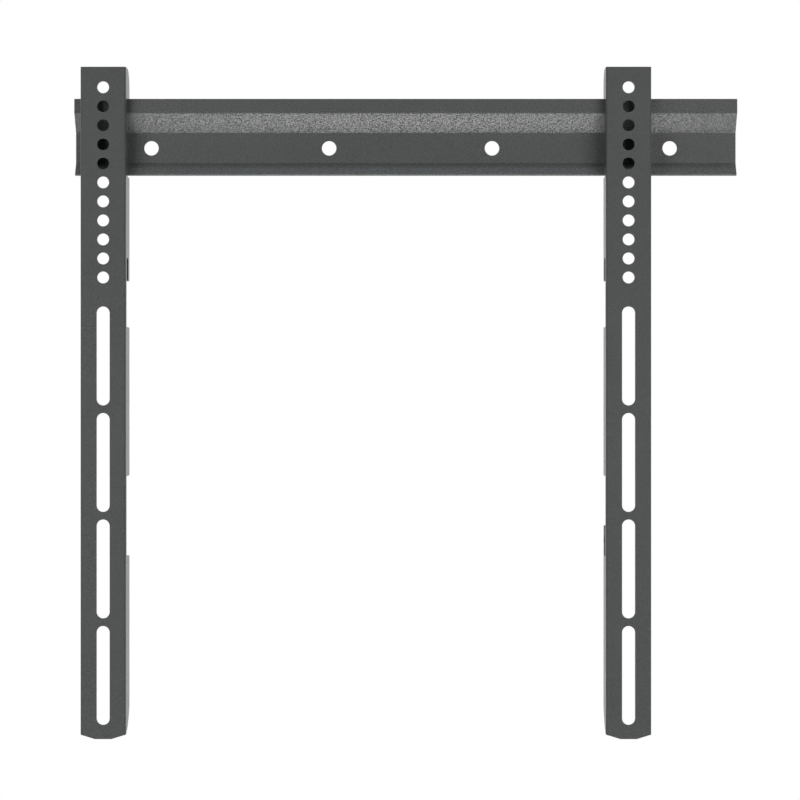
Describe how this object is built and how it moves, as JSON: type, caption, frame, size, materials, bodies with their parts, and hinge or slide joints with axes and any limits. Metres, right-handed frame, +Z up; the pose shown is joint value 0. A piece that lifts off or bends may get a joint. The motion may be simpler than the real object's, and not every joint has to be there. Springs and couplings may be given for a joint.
{
  "type": "fixed tv wall bracket",
  "caption": "Fixed wall bracket for a flat screen: a folded steel wall rail with a hook lip, and upright channel arms with screw holes and slots that hang on it.",
  "frame": {"origin": "middle of the line of wall holes, on the wall plane", "axes": "+X to the right as seen from the room, +Y into the wall, +Z up"},
  "size_m": [0.4454, 0.025, 0.4489],
  "materials": {
    "powder_coat": "dark grey fine-textured powder coat, satin"
  },
  "bodies": {
    "root": {"wall_rail": "powder_coat", "left_arm": "powder_coat", "right_arm": "powder_coat"}
  },
  "joints": []
}
